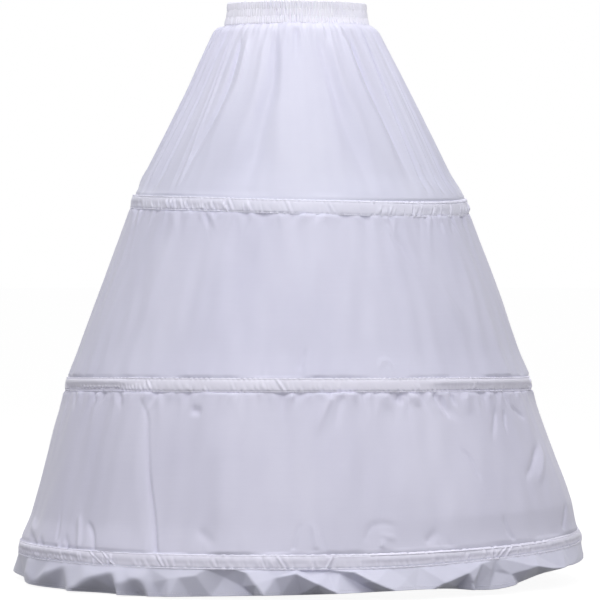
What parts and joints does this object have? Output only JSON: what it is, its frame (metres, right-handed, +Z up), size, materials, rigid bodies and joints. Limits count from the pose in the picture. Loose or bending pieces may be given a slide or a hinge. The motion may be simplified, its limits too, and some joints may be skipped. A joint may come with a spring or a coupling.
{
  "type": "crinoline cage",
  "caption": "Cone-shaped hooped underskirt of white cloth with a gathered elastic waistband, hoops in sewn casings and a wavy flounce at the hem; it holds a gown's skirt out.",
  "frame": {"origin": "centre of the waist opening, at half the height of the waistband", "axes": "+Z up along the axis of the waist opening, -Y towards the front of the skirt, +X to the right as the front is looked at"},
  "size_m": [1.0033, 1.0036, 1.0023],
  "materials": {
    "taffeta": "white taffeta with a soft sheen",
    "casing_taffeta": "white taffeta, doubled over the hoop",
    "elastic": "woven elastic",
    "hoop": "white coated strip",
    "joiner": "crimped sheet"
  },
  "bodies": {
    "root": {"waistband": "taffeta", "waist_elastic": "elastic", "upper_tier": "taffeta", "top_casing": "casing_taffeta", "top_hoop": "hoop", "top_hoop_joiner": "joiner", "middle_tier": "taffeta", "middle_casing": "casing_taffeta", "middle_hoop": "hoop", "middle_hoop_joiner": "joiner", "lower_tier": "taffeta", "bottom_casing": "casing_taffeta", "bottom_hoop": "hoop", "bottom_hoop_joiner": "joiner", "hem_flounce": "taffeta"}
  },
  "joints": []
}
